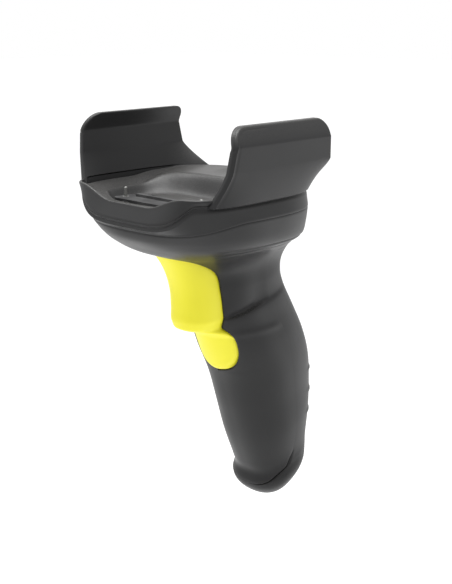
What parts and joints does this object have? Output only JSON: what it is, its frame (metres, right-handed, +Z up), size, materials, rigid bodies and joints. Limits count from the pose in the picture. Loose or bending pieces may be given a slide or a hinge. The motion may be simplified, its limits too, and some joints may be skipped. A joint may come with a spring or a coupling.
{
  "type": "trigger grip for a handheld scanner",
  "caption": "Clip-on pistol grip with a sprung finger trigger, and an open cradle whose two clip arms hold a flat handheld scanner over spring contact pins.",
  "frame": {"origin": "on the flat seat of the cradle, in the mirror plane, above the neck", "axes": "+Z up, out of the seat towards the scanner; the trigger and the front rim face -Y; X runs across, from one clip arm to the other"},
  "size_m": [0.084, 0.0985, 0.169],
  "materials": {
    "shell": "fine satin moulded",
    "soft": "matte",
    "trigger": "satin moulded",
    "steel": "bright",
    "brass": "turned",
    "contact": "plated",
    "inner_plastic": "moulded",
    "plunger": "moulded",
    "board": "lacquered",
    "lead": "film"
  },
  "bodies": {
    "handle": {"cradle": "shell", "front_housing": "shell", "rear_housing": "shell", "back_strap": "soft", "pivot_pin": "steel", "return_spring": "steel", "switch_board": "board", "switch_body": "inner_plastic", "lead_socket": "plunger", "ribbon_lead": "lead", "board_screws": "steel", "contact_block": "inner_plastic", "contact_gasket": "soft", "contact_barrels": "brass", "cradle_screws": "steel", "cradle_inserts": "brass", "housing_screws": "steel", "housing_inserts": "brass"},
    "trigger": {"trigger": "trigger"},
    "switch_plunger": {"switch_plunger": "plunger"},
    "contact_pin_left": {"contact_pin_left": "contact"},
    "contact_pin_right": {"contact_pin_right": "contact"}
  },
  "joints": [
    {"name": "trigger_pivot", "type": "hinge", "parent": "handle", "child": "trigger", "pos_m": [0, -0.0025, -0.068], "axis": [-1, 0, 0], "range_deg": [0, 5], "stiffness_Nm_per_rad": 1.5, "springref_deg": -3.44, "deforming": ["return_spring"]},
    {"name": "plunger_press", "type": "slide", "parent": "handle", "child": "switch_plunger", "axis": [0, 1, 0], "range_m": [0, 0.0018]},
    {"name": "left_pin_press", "type": "slide", "parent": "handle", "child": "contact_pin_left", "axis": [0, 0, -1], "range_m": [0, 0.0015], "stiffness_N_per_m": 200, "springref_m": -0.001},
    {"name": "right_pin_press", "type": "slide", "parent": "handle", "child": "contact_pin_right", "axis": [0, 0, -1], "range_m": [0, 0.0015], "stiffness_N_per_m": 200, "springref_m": -0.001}
  ],
  "couplings": [
    {"joint": "plunger_press", "follows": "trigger_pivot", "m_per_rad": 0.02}
  ]
}
